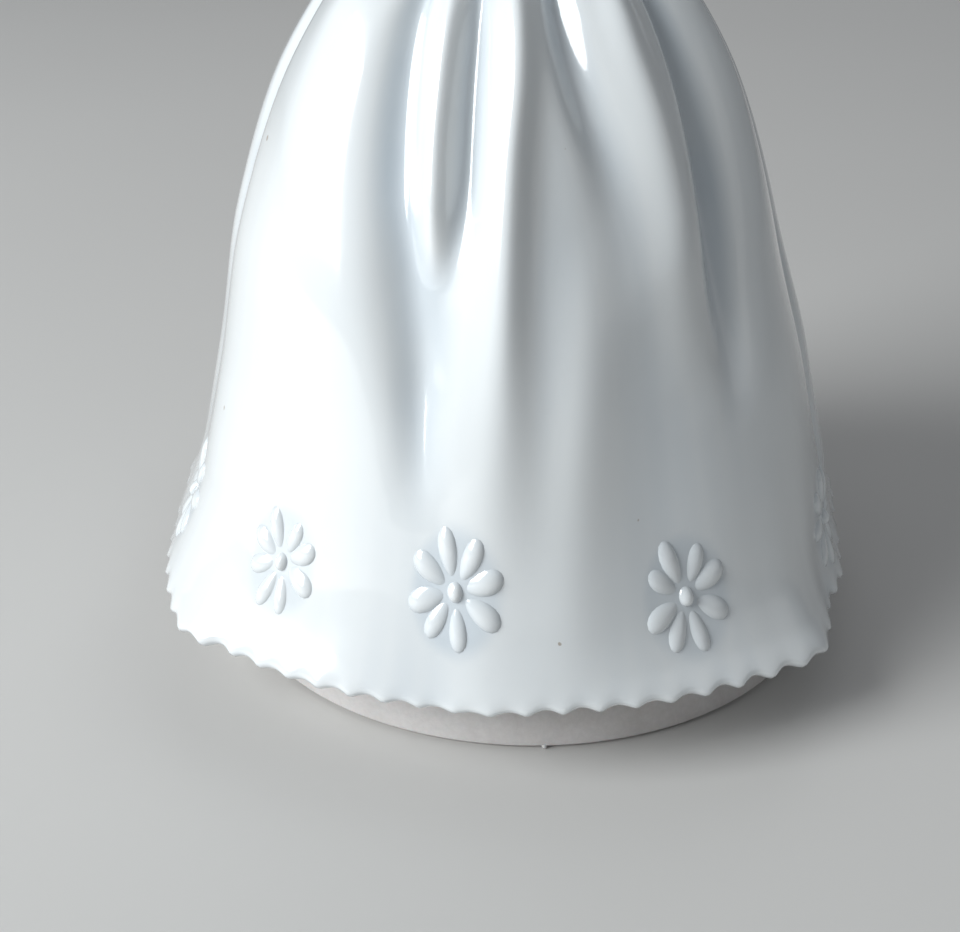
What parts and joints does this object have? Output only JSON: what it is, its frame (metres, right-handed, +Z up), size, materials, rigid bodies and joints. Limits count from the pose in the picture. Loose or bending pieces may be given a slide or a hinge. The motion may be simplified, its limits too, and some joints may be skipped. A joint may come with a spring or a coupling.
{
  "type": "porcelain figure bell",
  "caption": "Glazed white porcelain hand bell shaped as a lady in a long gathered dress with raised daisies above a scalloped hem, rung by a bead on a wire clapper.",
  "frame": {"origin": "centre of the foot ring on the table, under the bell's axis", "axes": "+Z up along the bell's axis, -Y the way the lady faces, +X to her left hand's side as seen from the front on the right"},
  "size_m": [0.0782, 0.0782, 0.1362],
  "materials": {
    "dress_glaze": "cool white porcelain under a clear, wet-looking glaze that pools faintly blue-grey in the folds",
    "figure_glaze": "the same cool white glazed porcelain",
    "cup_porcelain": "smooth bisque porcelain, unglazed and slightly warm on the foot ring, glazed inside",
    "bead_glaze": "glazed white porcelain",
    "clapper_wire_brass": "drawn brass wire, lightly dulled"
  },
  "bodies": {
    "bell": {"bell_cup": "cup_porcelain", "dress_skirt": "dress_glaze", "daisy_1": "dress_glaze", "daisy_2": "dress_glaze", "daisy_3": "dress_glaze", "daisy_4": "dress_glaze", "daisy_5": "dress_glaze", "daisy_6": "dress_glaze", "daisy_7": "dress_glaze", "daisy_8": "dress_glaze", "daisy_9": "dress_glaze", "daisy_10": "dress_glaze", "waist_sash": "figure_glaze", "bodice": "figure_glaze", "bertha_collar": "figure_glaze", "left_sleeve": "figure_glaze", "right_sleeve": "figure_glaze", "left_arm": "figure_glaze", "right_arm": "figure_glaze", "posy": "figure_glaze", "head": "figure_glaze", "hair": "figure_glaze", "hair_bun": "figure_glaze", "sun_hat": "figure_glaze", "hat_ribbon": "figure_glaze", "sash_bow": "figure_glaze", "left_sash_tail": "figure_glaze", "right_sash_tail": "figure_glaze", "hanger_strap": "cup_porcelain"},
    "swivel_hook": {"swivel_hook": "clapper_wire_brass"},
    "clapper": {"clapper_wire": "clapper_wire_brass"},
    "bead": {"clapper_bead": "bead_glaze"}
  },
  "joints": [
    {"name": "hook_swivel", "type": "hinge", "parent": "bell", "child": "swivel_hook", "pos_m": [0, 0, 0.0613], "axis": [0, 0, 1], "continuous": true},
    {"name": "clapper_swing", "type": "hinge", "parent": "swivel_hook", "child": "clapper", "pos_m": [0, 0, 0.0538], "axis": [0, 1, 0], "range_deg": [-33, 33]},
    {"name": "bead_spin", "type": "hinge", "parent": "clapper", "child": "bead", "pos_m": [0, 0, 0.017], "axis": [0, 0, 1], "continuous": true}
  ]
}
